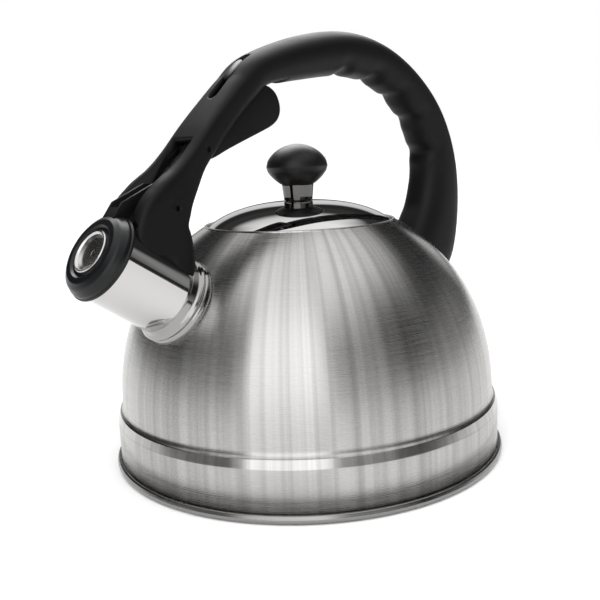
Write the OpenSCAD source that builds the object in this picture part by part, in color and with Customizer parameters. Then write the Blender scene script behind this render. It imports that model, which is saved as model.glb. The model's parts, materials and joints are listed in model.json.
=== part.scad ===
// Stovetop whistling kettle: steel body with a lift-off lid, and a spout whose whistling cap
// is opened by a trigger under the handle. Millimetres. The origin is the middle of the
// underside, +Z is up, and the spout points along -X.

/* [Body] */
// Radius of the straight band above the base
band_r = 107.5; // [95:0.5:130]
// Height at which the straight band ends and the shoulder starts
band_top = 26; // [20:1:34]
// Height of the polished shoulder chamfer
shoulder_h = 4.8; // [3:0.1:7]
// Step from the band in to the foot of the dome
dome_inset = 3; // [2:0.1:5]
// Height the dome would have if it closed to a point
dome_rise = 111.5; // [95:0.5:135]
// Fullness of the dome towards its top
dome_top_power = 2.288; // [2:0.01:2.6]
// Fullness of the dome towards its foot
dome_foot_power = 1.964; // [1.8:0.01:2.2]
// Thickness of the steel sheet
wall = 1; // [0.6:0.1:1.4]
// Radius of the filling opening where it leaves the dome
mouth_r = 53; // [45:0.5:64]
// Width of the ledge the lid sits on
ledge_w = 6; // [4:0.5:8]
// Depth of the neck below the ledge
neck_h = 8; // [5:0.5:12]

/* [Base] */
// Radius of the rolled seam's round section
seam_r = 2.3; // [1.8:0.1:3]
// How far the seam stands out past the band
seam_proud = 2.5; // [1.5:0.1:3.5]
// Thickness of the base plate
plate_t = 0.8; // [0.6:0.1:1.2]
// Thickness of the aluminium disc that spreads the heat
disc_t = 2.5; // [2:0.1:4]
// Radius of the heat disc
disc_r = 95; // [80:1:98]
// Thickness of the steel skin under the heat disc
skin_t = 0.5; // [0.4:0.1:0.8]

/* [Spout] */
// Outer radius of the spout tube
tube_r = 20.1; // [16:0.1:24.5]
// Wall of the spout tube
tube_wall = 1; // [0.8:0.1:1.5]
// Angle of the spout above the horizontal
spout_angle = 34.5; // [30:0.5:40]
// Height at which the spout's axis leaves the dome
spout_z = 98; // [90:0.5:102]
// Length of the axis from the dome to the back of the cap
spout_reach = 45; // [40:0.5:54]
// How far the collar at the root stands out past the tube
collar_proud = 2.6; // [1.5:0.1:4]

/* [Cap and whistle] */
// Length of the cap along the spout
cap_len = 8; // [7:0.1:10]
// Radial gap between the cap's skirt and the tube
cap_gap = 0.65; // [0.6:0.05:0.8]
// Thickness of the cap's skirt
skirt_t = 1.15; // [1:0.05:1.6]
// Length of tube that the closed cap covers
cap_overlap = 1; // [0.8:0.1:1.2]
// Radius of the round front edge of the cap
cap_face_r = 15.5; // [14:0.1:17]
// Radius of the whistle discs
whistle_r = 11; // [9:0.1:11.5]
// Radius of the whistle's steam holes
whistle_hole_r = 1.7; // [1:0.1:2.2]
// Thickness of the whistle's sheet
whistle_t = 0.5; // [0.4:0.1:0.8]

/* [Handle] */
// Height of the top of the handle
handle_top = 232; // [224:1:280]
// How far the rear leg stands out past the dome's foot
rear_reach = 14.5; // [12:0.5:20]
// Half width of the channel that holds the trigger and the lever
channel_half = 8.5; // [7.8:0.1:9]
// Thickness of the handle over the channel
roof_t = 3.5; // [3:0.1:4]
// Thickness of the wall behind the lever
back_wall_t = 2.2; // [1.8:0.1:2.6]
// Half width of the slot in the handle's top
slot_half = 3.5; // [3:0.1:4]

/* [Trigger and lever] */
// Height of the lever's pin above the top of the tube
lever_pin_up = 15.4; // [15:0.1:18]
// Distance of the lever's pin behind the back of the cap
lever_pin_back = 15.1; // [14:0.1:16]
// Distance between the lever's pin and the trigger's pin
pin_spacing = 34; // [32:0.5:36]
// Angle of the line through the two pins, from the front
pin_line_angle = 129; // [126:0.5:132]
// Distance of the drive pin from the lever's pin
drive_arm = 9; // [8:0.1:10]
// Angle that the lever swings through to open the cap
lever_swing = 28; // [20:1:30]
// Radius of the two pivot pins
pin_r = 1.5; // [1.2:0.1:2]
// Radius of the drive pin
drive_pin_r = 1.25; // [1:0.05:1.5]
// Running clearance of the pivot pins in their bores
running_gap = 0.05; // [0.02:0.01:0.09]
// Clearance of the drive pin in the trigger's slot
drive_gap = 0.3; // [0.25:0.05:0.4]
// Half width of the lever's channel section
lever_half = 5; // [4.5:0.1:5.5]
// Thickness of the lever's side walls
lever_wall = 1.5; // [1.2:0.1:1.6]
// Half width of the trigger's finger pad
trigger_half = 7; // [6:0.1:7.2]
// Radius of the round end of the finger pad
pad_r = 11.4; // [10:0.1:12]
// Thickness of the return spring's wire
wire_d = 1.1; // [0.8:0.1:1.2]

/* [Lid and knob] */
// Rise of the lid from its rim to its top
lid_rise = 12.2; // [9:0.1:15]
// Gap between the lid's rim and the wall of the opening
lid_gap = 0.6; // [0.4:0.05:1]
// Length of the skirt under the lid
lid_skirt_h = 14; // [10:0.5:17]
// Gap between the lid's seal and the neck
seal_gap = 0.3; // [0.2:0.05:0.5]
// Radius of the knob at its widest
knob_r = 17.1; // [14:0.1:19]
// Height of the knob above its ferrule
knob_h = 22; // [18:0.5:24]
// Height of the ferrule under the knob
ferrule_h = 8.8; // [6:0.1:10]
// Radius of the ferrule where it meets the knob
ferrule_r = 8.9; // [7:0.1:9.5]
// Radius of the screws' threads
screw_r = 1.75; // [1.5:0.05:2]

/* [Hidden] */
$fn = 96;
sheet_gap = 0.3;   // between pieces of different bodies that only lie on each other
far = 400;         // longer than anything that is cut
steel = "silver";
plastic = "#1d1d1f";

// ---- heights and radii that follow from the sizes above
plate_top = skin_t + disc_t + plate_t;
dome_z = band_top + shoulder_h;
dome_r = band_r - dome_inset;
dome_steps = 24;

// Radius of a dome of foot radius r and closed height h, at height z above its foot.
function dome_at(r, h, z) = r * pow(1 - pow(z / h, dome_top_power), 1 / dome_foot_power);
// Height above its foot at which that dome has radius q.
function dome_height(r, h, q) = h * pow(1 - pow(q / r, dome_foot_power), 1 / dome_top_power);

mouth_h = dome_height(dome_r, dome_rise, mouth_r);
mouth_z = dome_z + mouth_h;
ledge_drop = 2;
ledge_z = mouth_z - ledge_drop;
opening_r = mouth_r - 2;
neck_r = opening_r - ledge_w;
lip_h = 0.8;

// Points of the dome from height low to height high above its foot, on a dome r by h.
function dome_points(r, h, low, high) =
  [for (i = [0:dome_steps]) let (z = low + (high - low) * sin(90 * i / dome_steps))
    [dome_at(r, h, z), dome_z + z]];

inner_r = dome_r - wall;
inner_rise = dome_rise - wall;
inner_top = ledge_z - wall - dome_z;

body_outer = concat(
  [[band_r, plate_top], [band_r, band_top], [dome_r + dome_inset / 2, dome_z], [dome_r, dome_z]],
  dome_points(dome_r, dome_rise, 0.5, mouth_h));
body_inner = concat(
  [[band_r - wall, plate_top], [band_r - wall, band_top], [inner_r + 1.6, dome_z - wall / 2],
   [inner_r, dome_z]],
  dome_points(inner_r, inner_rise, 0.5, inner_top));
mouth_rim = [
  [mouth_r - 0.5, mouth_z + lip_h], [mouth_r - 1.2, mouth_z + lip_h + 0.2],
  [opening_r + 0.2, mouth_z + lip_h], [opening_r, mouth_z], [opening_r, ledge_z],
  [neck_r, ledge_z], [neck_r, ledge_z - neck_h], [neck_r + wall, ledge_z - neck_h],
  [neck_r + wall, ledge_z - wall]
];

function reversed(list) = [for (i = [len(list) - 1:-1:0]) list[i]];

// ---- the spout's own frame: local +Z runs out along the spout, local +X away from its top
root_x = -dome_at(dome_r, dome_rise, spout_z - dome_z);
cap_x = root_x - spout_reach * cos(spout_angle);
cap_z = spout_z + spout_reach * sin(spout_angle);
tube_tip = cap_overlap;
tube_root = -spout_reach - 16;
bore_r = tube_r - tube_wall;
// The point of side view, [x, z], that lies up above the spout's axis and out along it.
function from_spout(up, out) = [
  cap_x + up * sin(spout_angle) - out * cos(spout_angle),
  cap_z + up * cos(spout_angle) + out * sin(spout_angle)
];
module spout_frame() {
  translate([cap_x, 0, cap_z]) rotate([0, spout_angle - 90, 0]) children();
}

// ---- pivots in side view, [x, z]
function towards(p, angle, d) = [p.x - d * cos(angle), p.y + d * sin(angle)];
lever_up = tube_r + lever_pin_up;
lever_pivot = from_spout(lever_up, -lever_pin_back);
trigger_pivot = towards(lever_pivot, pin_line_angle, pin_spacing);
drive_rest_angle = pin_line_angle - lever_swing;
drive_pivot = towards(lever_pivot, drive_rest_angle, drive_arm);
nose_run = trigger_pivot.x - drive_pivot.x;
nose_fall = trigger_pivot.y - drive_pivot.y;
nose_angle = atan2(nose_fall, nose_run);
slot_near = pin_spacing - drive_arm - drive_gap;
slot_far = norm([nose_run, nose_fall]) + drive_gap;
hub_r = 4.2;
drive_end_r = drive_pin_r + 1.55;
hub_half = channel_half - sheet_gap;
lever_inside = lever_half - lever_wall;
nose_half = lever_inside - 0.5;
nose_t = 6.4;
nose_end = slot_far + drive_pin_r + 2;
nose_full_angle = 180 - pin_line_angle;   // where the nose points when the lever is fully open

// ---- the handle's centre line: [x, z, half thickness, half width, squareness]
root_top = from_spout(tube_r, 0);
leg_half = 0.846 * tube_r;   // half width of the leg where it stands astride the tube
front_leg = [
  [12.2, -36, 18, leg_half, 6.5], [13, -18.5, 17.8, leg_half, 6.5], [14.6, -3, 15, leg_half - 0.5, 6.5],
  [20.4, 7, 12.2, leg_half - 1, 6], [28.9, 16.7, 8.7, 15, 5.5], [36.8, 26.2, 6.6, 14.5, 5],
  [48, 38.2, 6.8, 14, 4.4], [60.2, 50, 7.2, 13.5, 3.6], [71.7, 60, 8, 13, 3], [84.7, 69.2, 9, 13, 2.5]
];
// The arch and the rear leg, as shares of the span and of the rise between their ends.
arch_share = [
  [0.215, 0.968, 11.4, 13, 2.2], [0.437, 1, 12.1, 13, 2.2], [0.629, 0.952, 11.9, 13, 2.2],
  [0.801, 0.817, 12, 13, 2.2], [0.934, 0.61, 13.4, 13, 2.2], [1, 0.347, 15.4, 13.3, 2.3],
  [0.988, 0.07, 19, 14, 2.5], [0.925, -0.17, 21.5, 15, 2.8], [0.855, -0.38, 13.5, 14.5, 2.7],
  [0.81, -0.53, 6, 13, 2.4]
];
arch_start = root_top + [84.7, 69.2];
arch_end = [dome_r + rear_reach, 120];
arch_top = handle_top - 12;
handle_stations = concat(
  [for (s = front_leg) [root_top.x + s[0], root_top.y + s[1], s[2], s[3], s[4]]],
  [for (s = arch_share) [
    arch_start.x + s[0] * (arch_end.x - arch_start.x),
    arch_end.y + s[1] * (arch_top - arch_end.y), s[2], s[3], s[4]]]);

// A smooth curve through the stations p, with n steps from each to the next.
function curve_at(a, b, c, d, t) =
  (2 * b + (c - a) * t + (2 * a - 5 * b + 4 * c - d) * t * t + (3 * b - a - 3 * c + d) * t * t * t) / 2;
function smooth(p, n) = concat(
  [for (i = [0:len(p) - 2], k = [0:n - 1])
    curve_at(p[max(i - 1, 0)], p[i], p[i + 1], p[min(i + 2, len(p) - 1)], k / n)],
  [p[len(p) - 1]]);
path_steps = 2;
path = smooth(handle_stations, path_steps);
function direction(p, i) =
  let (a = p[max(i - 1, 0)], b = p[min(i + 1, len(p) - 1)], v = [b[0] - a[0], b[1] - a[1]])
  v / norm(v);
// The point of side view at distance d outwards from the centre line, at path step i.
function beside(i, d) = let (v = direction(path, i)) [path[i][0] - v.y * d, path[i][1] + v.x * d];
function power(v, q) = sign(v) * pow(abs(v), 2 / q);
ring_points = 20;
function handle_ring(i) =
  [for (k = [0:ring_points - 1]) let (
    a = 360 * (k + 0.5) / ring_points, p = path[i], e = beside(i, p[2] * power(cos(a), p[4])))
    [e.x, p[3] * power(sin(a), p[4]), e.y]];

// A closed skin over rings that all have the same number of points.
module skin(rings) {
  m = len(rings[0]);
  n = len(rings);
  sides = [for (i = [0:n - 2], k = [0:m - 1]) let (
    a = i * m + k, b = i * m + (k + 1) % m, c = a + m, d = b + m) each [[a, c, b], [b, c, d]]];
  ends = [[for (k = [0:m - 1]) k], [for (k = [m - 1:-1:0]) (n - 1) * m + k]];
  polyhedron(points = [for (r = rings) each r], faces = concat(sides, ends));
}

// A side-view outline made into a plate between y = low and y = high.
module plate(points, low, high) {
  translate([0, high, 0]) rotate([90, 0, 0]) linear_extrude(high - low) polygon(points);
}
// A round bar across the kettle at a side-view point, between y = low and y = high.
module cross_bar(p, r, low, high) {
  translate([p.x, high, p.y]) rotate([90, 0, 0]) cylinder(r = r, h = high - low);
}
// Turns its children about a cross axis through the side-view point p.
module turned(p, angle) {
  translate([p.x, 0, p.y]) rotate([0, angle, 0]) translate([-p.x, 0, -p.y]) children();
}
module dome_solid() {
  rotate_extrude() polygon(concat([[0, plate_top]], body_outer, [[0, mouth_z]]));
}

// ---- kettle body
module body_shell() {
  color(steel) difference() {
    rotate_extrude() polygon(concat(body_outer, mouth_rim, reversed(body_inner)));
    spout_frame() translate([0, 0, tube_root]) cylinder(r = bore_r, h = -tube_root);
  }
}

seam_mid_r = band_r + seam_proud - seam_r;
seam_mid_z = seam_r + 0.1;
plate_low = plate_top - plate_t;
module base_seam() {
  color("dimgray") rotate_extrude() difference() {
    translate([seam_mid_r, seam_mid_z]) circle(seam_r);
    translate([band_r - 2 * seam_r, plate_low]) square([2 * seam_r, 2 * seam_r]);
  }
}

module base_plate() {
  color(steel) translate([0, 0, plate_low]) cylinder(r = band_r, h = plate_t);
}

module heat_disc() {
  color("gainsboro") translate([0, 0, skin_t]) cylinder(r = disc_r, h = disc_t);
}

module base_cap() {
  color(steel) difference() {
    cylinder(r = disc_r + skin_t, h = plate_low);
    translate([0, 0, skin_t]) cylinder(r = disc_r, h = far);
  }
}

// ---- spout
module spout_tube() {
  color("gainsboro") difference() {
    spout_frame() translate([0, 0, tube_root]) difference() {
      cylinder(r = tube_r, h = tube_tip - tube_root);
      translate([0, 0, -1]) cylinder(r = bore_r, h = tube_tip - tube_root + 2);
    }
    dome_solid();
  }
}

flare_start = 7.1 - spout_reach;
collar_edge = flare_start - 5.3;
module spout_collar() {
  color("gainsboro") difference() {
    spout_frame() rotate_extrude() polygon([
      [tube_r, flare_start], [tube_r + 0.2, flare_start - 1.6], [tube_r + 0.9, flare_start - 3.4],
      [tube_r + collar_proud - 0.5, collar_edge + 1], [tube_r + collar_proud, collar_edge],
      [tube_r + collar_proud, tube_root], [tube_r, tube_root]]);
    dome_solid();
  }
}

// The trigger's nose, turned to an angle below the horizontal and grown all round by room.
module nose(angle, room) {
  turned(trigger_pivot, -angle)
    translate([trigger_pivot.x - nose_end - room, -nose_half - room, trigger_pivot.y - nose_t / 2 - room])
      cube([nose_end + room, 2 * (nose_half + room), nose_t + 2 * room]);
}

// ---- handle
lever_mouth_step = 11;
trigger_start_step = 10;
trigger_end_step = 19;
// Outline between two distances from the centre line, over a run of path steps.
function band(first, last, inner, outer) = concat(
  [for (i = [first:last]) beside(i, -path[i][2] + inner)],
  [for (i = [last:-1:first]) beside(i, path[i][2] - outer)]);
past = 8;
nose_gap = 0.35;
floor_t = 6;
floor_front = -9;

module lever_room() {
  intersection() {
    union() {
      plate(band(0, lever_mouth_step, back_wall_t, -past), -channel_half, channel_half);
      plate(band(lever_mouth_step - 2, lever_mouth_step + 3, back_wall_t, roof_t),
        -channel_half, channel_half);
    }
    spout_frame() union() {
      translate([tube_r + floor_t, -far / 2, -far / 2]) cube(far);
      translate([tube_r - 6, -far / 2, floor_front]) cube(far);
    }
  }
}

module trigger_room() {
  plate(band(trigger_start_step, trigger_end_step, -past, roof_t), -channel_half, channel_half);
}

slot_from = beside(14, path[14][2]);
slot_to = beside(18, path[18][2]);
slot_turn = atan2(slot_to.y - slot_from.y, slot_to.x - slot_from.x);
slot_len = norm(slot_to - slot_from) - 2 * slot_half;
slot_deep = 8;
// A round-ended bar along the slot, over a share of its length, from low to high.
module slot_bar(from, to, half, low, high) {
  translate([slot_from.x, 0, slot_from.y]) rotate([0, -slot_turn, 0]) translate([slot_half, 0, low]) {
    translate([from * slot_len, 0, 0]) cylinder(r = half, h = high - low);
    translate([to * slot_len, 0, 0]) cylinder(r = half, h = high - low);
    translate([from * slot_len, -half, 0]) cube([(to - from) * slot_len, 2 * half, high - low]);
  }
}

cap_r = tube_r + cap_gap + skirt_t;
cap_clear = 1.2;
root_edge = 0.532 * tube_r;   // height above the axis where the handle stops down the tube
pin_half = 14.6;
rear_screw_z = 90;
rear_wall_x = dome_at(dome_r, dome_rise, rear_screw_z - dome_z);
boss_r = 7;
boss_len = 20;
thread_len = 15;
boss_bore_start = 12;      // how far in from its end the boss is bored for the screw
head_r = 3.2;
head_t = 2.2;
bracket_half = 5.5;
bracket_t = 3.5;
bracket_out = [-27, -11];
front_screw_out = -19;

module rear_axis() {
  translate([rear_wall_x, 0, rear_screw_z]) rotate([0, 90, 0]) children();
}

module handle() {
  color(plastic) difference() {
    skin([for (i = [0:len(path) - 1]) handle_ring(i)]);
    lever_room();
    trigger_room();
    nose(nose_full_angle, nose_gap);
    slot_bar(0, 1, slot_half, -slot_deep, slot_deep);
    dome_solid();
    spout_frame() {
      translate([0, 0, tube_root]) cylinder(r = tube_r, h = 2 * far);
      translate([0, 0, tube_root])
        cylinder(r = tube_r + collar_proud + sheet_gap, h = flare_start - tube_root);
      translate([root_edge - far, -far / 2, -far / 2]) cube(far);
      translate([0, -bracket_half, bracket_out[0]])
        cube([tube_r + bracket_t, 2 * bracket_half, bracket_out[1] - bracket_out[0]]);
      translate([0, 0, front_screw_out]) rotate([0, 90, 0]) cylinder(r = screw_r, h = far / 4);
    }
    for (a = [0:7:lever_swing])
      turned(lever_pivot, a) spout_frame() translate([0, 0, -cap_clear])
        cylinder(r = cap_r + cap_clear, h = cap_len + 3 * cap_clear);
    cross_bar(lever_pivot, pin_r, -far / 2, far / 2);
    cross_bar(trigger_pivot, pin_r, -far / 2, far / 2);
    rear_axis() {
      translate([0, 0, -boss_len]) cylinder(r = boss_r, h = 2 * boss_len);
      cylinder(r = screw_r, h = far / 4);
      translate([0, 0, boss_len + 5]) cylinder(r = head_r + 0.6, h = far / 4);
    }
  }
}

module front_bracket() {
  color(steel) spout_frame() difference() {
    translate([tube_r - 2, -bracket_half, bracket_out[0]])
      cube([bracket_t + 2, 2 * bracket_half, bracket_out[1] - bracket_out[0]]);
    translate([0, 0, tube_root]) cylinder(r = tube_r, h = far);
    translate([0, 0, front_screw_out]) rotate([0, 90, 0]) cylinder(r = screw_r, h = far / 4);
  }
}

module front_screw() {
  color(steel) spout_frame() translate([tube_r + 0.6, 0, front_screw_out]) rotate([0, 90, 0]) {
    cylinder(r = screw_r, h = floor_t);
    translate([0, 0, floor_t - 0.6]) cylinder(r = head_r, h = head_t);
  }
}

module rear_bracket() {
  color(steel) difference() {
    rear_axis() difference() {
      translate([0, 0, -boss_len]) cylinder(r = boss_r, h = 2 * boss_len);
      translate([0, 0, boss_len - boss_bore_start]) cylinder(r = screw_r, h = far / 4);
    }
    dome_solid();
  }
}

module rear_screw() {
  color(steel) rear_axis() translate([0, 0, boss_len + 5 - thread_len]) {
    cylinder(r = screw_r, h = thread_len);
    translate([0, 0, thread_len]) cylinder(r = head_r, h = head_t);
  }
}

insert_run = [0.52, 0.78];   // share of the slot's length that the insert fills
insert_z = [-2.6, 1.5];
module slot_insert() {
  color(plastic) slot_bar(insert_run[0], insert_run[1], slot_half, insert_z[0], insert_z[1]);
}

// ---- trigger
pad_reach = [42, 19.9];   // from the trigger's pin to the middle of the pad's round end
pad_mid = trigger_pivot + pad_reach;
pad_dir = atan2(pad_reach.y, pad_reach.x);
spring_side = 2;          // the spring has the room beyond this y
spring_room_r = 15;
module trigger() {
  color(plastic) difference() {
    union() {
      translate([0, trigger_half, 0]) rotate([90, 0, 0]) linear_extrude(2 * trigger_half) hull() {
        translate(trigger_pivot) circle(hub_r, $fn = 32);
        translate(pad_mid) circle(pad_r, $fn = 48);
      }
      cross_bar(trigger_pivot, hub_r, -hub_half, spring_side);
      nose(nose_angle, 0);
    }
    cross_bar(trigger_pivot, pin_r + running_gap, -far / 2, far / 2);
    cross_bar(trigger_pivot, spring_room_r, spring_side, far / 2);
    turned(trigger_pivot, -nose_angle) {
      for (d = [slot_near, slot_far])
        cross_bar(trigger_pivot - [d, 0], drive_pin_r + drive_gap, -far / 2, far / 2);
      translate([trigger_pivot.x - slot_far, -far / 2, trigger_pivot.y - drive_pin_r - drive_gap])
        cube([slot_far - slot_near, far, 2 * (drive_pin_r + drive_gap)]);
    }
  }
}

module trigger_pin() {
  color(steel) cross_bar(trigger_pivot, pin_r, -pin_half + 1.4, pin_half - 1.4);
}

coil_r = 2.9;
coil_turns = 3;
coil_steps = 14;
coil_low = 3;
coil_pitch = 1.35;
pad_leg = [29.5, 13.7, -1];   // angle from the pad, reach and y of the leg on the trigger
roof_leg = [178, 11];         // angle from the pad and reach of the leg on the handle
// Leg along the finger pad, the coil round the pin, and the leg under the handle's roof.
function around(a, r, y) = [trigger_pivot.x + r * cos(a), y, trigger_pivot.y + r * sin(a)];
spring_path = concat(
  [for (y = [pad_leg.z, coil_low - 0.4]) around(pad_dir + pad_leg.x, pad_leg.y, y)],
  [for (i = [0:coil_turns * coil_steps]) let (t = i / coil_steps)
    around(pad_dir + 90 + 360 * t, coil_r, coil_low + coil_pitch * t)],
  [around(pad_dir + roof_leg.x, roof_leg.y, coil_low + coil_pitch * coil_turns)]);
wire_sides = 8;
function unit(v) = v / norm(v);
function wire_ring(i) =
  let (n = len(spring_path), t = unit(spring_path[min(i + 1, n - 1)] - spring_path[max(i - 1, 0)]),
       ref = abs(t.y) > 0.9 ? [1, 0, 0] : [0, 1, 0], u = unit(cross(t, ref)), v = cross(t, u))
  [for (k = [0:wire_sides - 1]) let (a = -360 * k / wire_sides)
    spring_path[i] + wire_d / 2 * (u * cos(a) + v * sin(a))];
module return_spring() {
  color(steel) skin([for (i = [0:len(spring_path) - 1]) wire_ring(i)]);
}

// ---- lever and cap, outlined in the spout's frame as [up, out]
function side_points(list) = [for (p = list) from_spout(p[0], p[1])];
module cap_envelope() {
  rotate_extrude() polygon(concat([[0, 0]], cap_outline, [[0, cap_len]]));
}
drive_up = lever_up + drive_arm * sin(drive_rest_angle - spout_angle);
drive_out = -lever_pin_back + drive_arm * cos(drive_rest_angle - spout_angle);
tail_side = [-sin(drive_rest_angle - spout_angle), cos(drive_rest_angle - spout_angle)];
lever_floor = tube_r + 3.4;
lever_outline = side_points([
  [tube_r - 2, 0.4], [cap_face_r - 1.5, cap_len - 1], [cap_face_r + 0.8, cap_len - 1],
  [tube_r + 6.1, cap_len - 1.6], [drive_up - 1.6, -3.8], [drive_up + 2.6, drive_out + 1],
  [drive_up + drive_end_r * tail_side[1], drive_out + drive_end_r * tail_side[0]],
  [lever_up + hub_r * tail_side[1], -lever_pin_back + hub_r * tail_side[0]],
  [lever_up - hub_r, -lever_pin_back], [tube_r + 7.2, -5], [tube_r + 3.6, -0.4]]);
lever_hollow = side_points([
  [lever_up - hub_r - 4, -lever_pin_back - far / 8], [lever_up - hub_r - 4, -lever_pin_back + 6.5],
  [tube_r + 10.4, -8], [tube_r + 5.6, -1], [lever_floor, 0.4], [lever_floor, cap_len + far / 8],
  [lever_up + far / 8, cap_len + far / 8], [lever_up + far / 8, -lever_pin_back - far / 8]]);

module cap_lever() {
  color(plastic) difference() {
    union() {
      plate(lever_outline, -lever_half, lever_half);
      cross_bar(lever_pivot, hub_r, -hub_half, hub_half);
      cross_bar(drive_pivot, drive_end_r, -lever_half, lever_half);
    }
    plate(lever_hollow, -lever_inside, lever_inside);
    cross_bar(lever_pivot, pin_r + running_gap, -far / 2, far / 2);
    cross_bar(drive_pivot, drive_pin_r, -far / 2, far / 2);
    spout_frame() cap_envelope();
    spout_frame() rivet_bar(rivet_r);
  }
}

module lever_pin() {
  color(steel) cross_bar(lever_pivot, pin_r, -pin_half, pin_half);
}

module drive_pin() {
  color(steel) cross_bar(drive_pivot, drive_pin_r, -lever_half, lever_half);
}

rivet_r = 1;
rivet_out = 4.8;
rivet_deep = 5;
rivet_head_t = 0.8;
rivet_head_r = 1.9;
module rivet_bar(r) {
  translate([lever_floor - rivet_deep - 4, 0, rivet_out]) rotate([0, 90, 0])
    cylinder(r = r, h = rivet_deep + 4);
}
module lever_rivet() {
  color(steel) spout_frame() {
    rivet_bar(rivet_r);
    translate([lever_floor, 0, rivet_out]) rotate([0, 90, 0]) cylinder(r = rivet_head_r, h = rivet_head_t);
  }
}

// ---- cap and whistle
seat_out = cap_overlap + sheet_gap + 1.3;
cap_outline = [
  [cap_r, 0], [cap_r, 1], [cap_r - 0.6, 1.5], [cap_r - 0.8, 2.5], [cap_r - 1.6, 4.6],
  [cap_r - 3, 6.4], [cap_face_r + 1.7, cap_len - 0.4], [cap_face_r, cap_len]
];
whistle_seat = cap_len - 1;
module spout_cap() {
  color(plastic) spout_frame() difference() {
    rotate_extrude() polygon(concat(cap_outline, [
      [cap_face_r - 1.9, cap_len], [cap_face_r - 2.9, whistle_seat], [whistle_r, whistle_seat],
      [whistle_r, seat_out], [tube_r + cap_gap, seat_out], [tube_r + cap_gap, 0]]));
    rivet_bar(rivet_r);
  }
}

module cap_gasket() {
  color("#8a8a88") spout_frame() translate([0, 0, tube_tip + sheet_gap]) difference() {
    cylinder(r = tube_r + cap_gap, h = seat_out - tube_tip - sheet_gap);
    translate([0, 0, -1]) cylinder(r = tube_r - 3, h = 9);
  }
}

whistle_gap = 2.3;
whistle_rim = cap_len + 0.3;
dish_low = cap_len - 2.2;
module whistle_front() {
  color("gainsboro") spout_frame() rotate_extrude() polygon([
    [whistle_hole_r, dish_low], [4, dish_low + 0.1], [7, dish_low + 0.5], [9.3, whistle_rim - 0.9],
    [9.8, whistle_rim - 0.2], [10.2, whistle_rim], [whistle_r - 0.2, whistle_rim - 0.2],
    [whistle_r, whistle_rim - 0.7], [whistle_r, dish_low - 0.6], [whistle_r - whistle_t, dish_low - 0.6],
    [whistle_r - whistle_t, whistle_rim - 1.6], [7, dish_low + 0.5 - whistle_t],
    [4, dish_low + 0.1 - whistle_t], [whistle_hole_r, dish_low - whistle_t]]);
}

module whistle_back() {
  color("gainsboro") spout_frame() translate([0, 0, dish_low - 0.6 - whistle_gap]) difference() {
    cylinder(r = whistle_r, h = whistle_gap);
    translate([0, 0, whistle_t]) cylinder(r = whistle_r - whistle_t, h = whistle_gap);
    translate([0, 0, -1]) cylinder(r = whistle_hole_r, h = whistle_gap);
  }
}

// ---- lid
lid_r = opening_r - lid_gap;
lid_low = ledge_z + sheet_gap;
lid_rim_z = mouth_z;
lid_top = lid_rim_z + lid_rise;
lid_flat_r = 9.5;
lid_t = 0.8;
lid_steps = 16;
function lid_height(r, edge, rise) = rise * pow(max(0, 1 - pow(r / edge, 2.5)), 1 / 1.2);
function lid_curve(edge, rise, base) = concat([[0, base + rise], [lid_flat_r, base + rise]],
  [for (i = [1:lid_steps]) let (r = lid_flat_r + (edge - lid_flat_r) * sin(90 * i / lid_steps))
    [r, base + lid_height(r, edge, rise)]]);
skirt_r = neck_r - 1.6;
module lid_dome() {
  color("gainsboro") rotate_extrude() difference() {
    polygon(concat(lid_curve(lid_r, lid_rise, lid_rim_z),
      [[lid_r, lid_low], [skirt_r - lid_t, lid_low], [0, lid_low]]));
    polygon(concat(lid_curve(lid_r - lid_t, lid_rise - lid_t, lid_rim_z),
      [[lid_r - lid_t, lid_low + lid_t], [0, lid_low + lid_t]]));
    square([screw_r + 0.3, far]);
    square([skirt_r - lid_t, lid_low + lid_t]);
  }
}

module lid_skirt() {
  color(steel) translate([0, 0, lid_low - lid_skirt_h]) difference() {
    cylinder(r = skirt_r, h = lid_skirt_h);
    translate([0, 0, -1]) cylinder(r = skirt_r - lid_t, h = lid_skirt_h + 2);
  }
}

module lid_gasket() {
  color("#8a8a88") translate([0, 0, lid_low - 6]) difference() {
    cylinder(r = neck_r - seal_gap, h = 4);
    translate([0, 0, -1]) cylinder(r = skirt_r, h = 6);
  }
}

// ---- knob
ferrule_low_r = ferrule_r - 1.2;
ferrule_t = 0.8;
knob_z = lid_top + ferrule_h;
spigot_r = ferrule_low_r - ferrule_t - 0.1;
module knob_ferrule() {
  color("gainsboro") translate([0, 0, lid_top]) rotate_extrude() polygon([
    [screw_r + 0.3, 0], [ferrule_low_r - 0.6, 0], [ferrule_low_r, 0.6], [ferrule_low_r + 0.4, 2.5],
    [ferrule_r, ferrule_h], [ferrule_r - ferrule_t, ferrule_h], [ferrule_low_r - ferrule_t, 2.5],
    [ferrule_low_r - ferrule_t, ferrule_t], [screw_r + 0.3, ferrule_t]]);
}

knob_wide = 0.44;
knob_steps = 10;
knob_foot_r = ferrule_r - 0.3;
// Knob outline from its foot to its top, above the ferrule.
function knob_under(i) = let (s = 1 - i / knob_steps)
  [knob_foot_r + (knob_r - knob_foot_r) * pow(1 - pow(s, 1.5), 0.85), knob_wide * knob_h * (1 - s)];
function knob_over(i) = let (s = sin(90 * i / knob_steps))
  [knob_r * pow(1 - pow(s, 1.7), 0.52), knob_h * (knob_wide + (1 - knob_wide) * s)];
module knob() {
  color(plastic) translate([0, 0, knob_z]) difference() {
    rotate_extrude() polygon(concat(
      [[0, ferrule_t + 0.2 - ferrule_h], [spigot_r, ferrule_t + 0.2 - ferrule_h], [spigot_r, 0]],
      [for (i = [0:knob_steps - 1]) knob_under(i)], [for (i = [0:knob_steps - 1]) knob_over(i)],
      [[0, knob_h]]));
    translate([0, 0, -ferrule_h]) cylinder(r = screw_r, h = knob_screw_len);
  }
}

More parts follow.
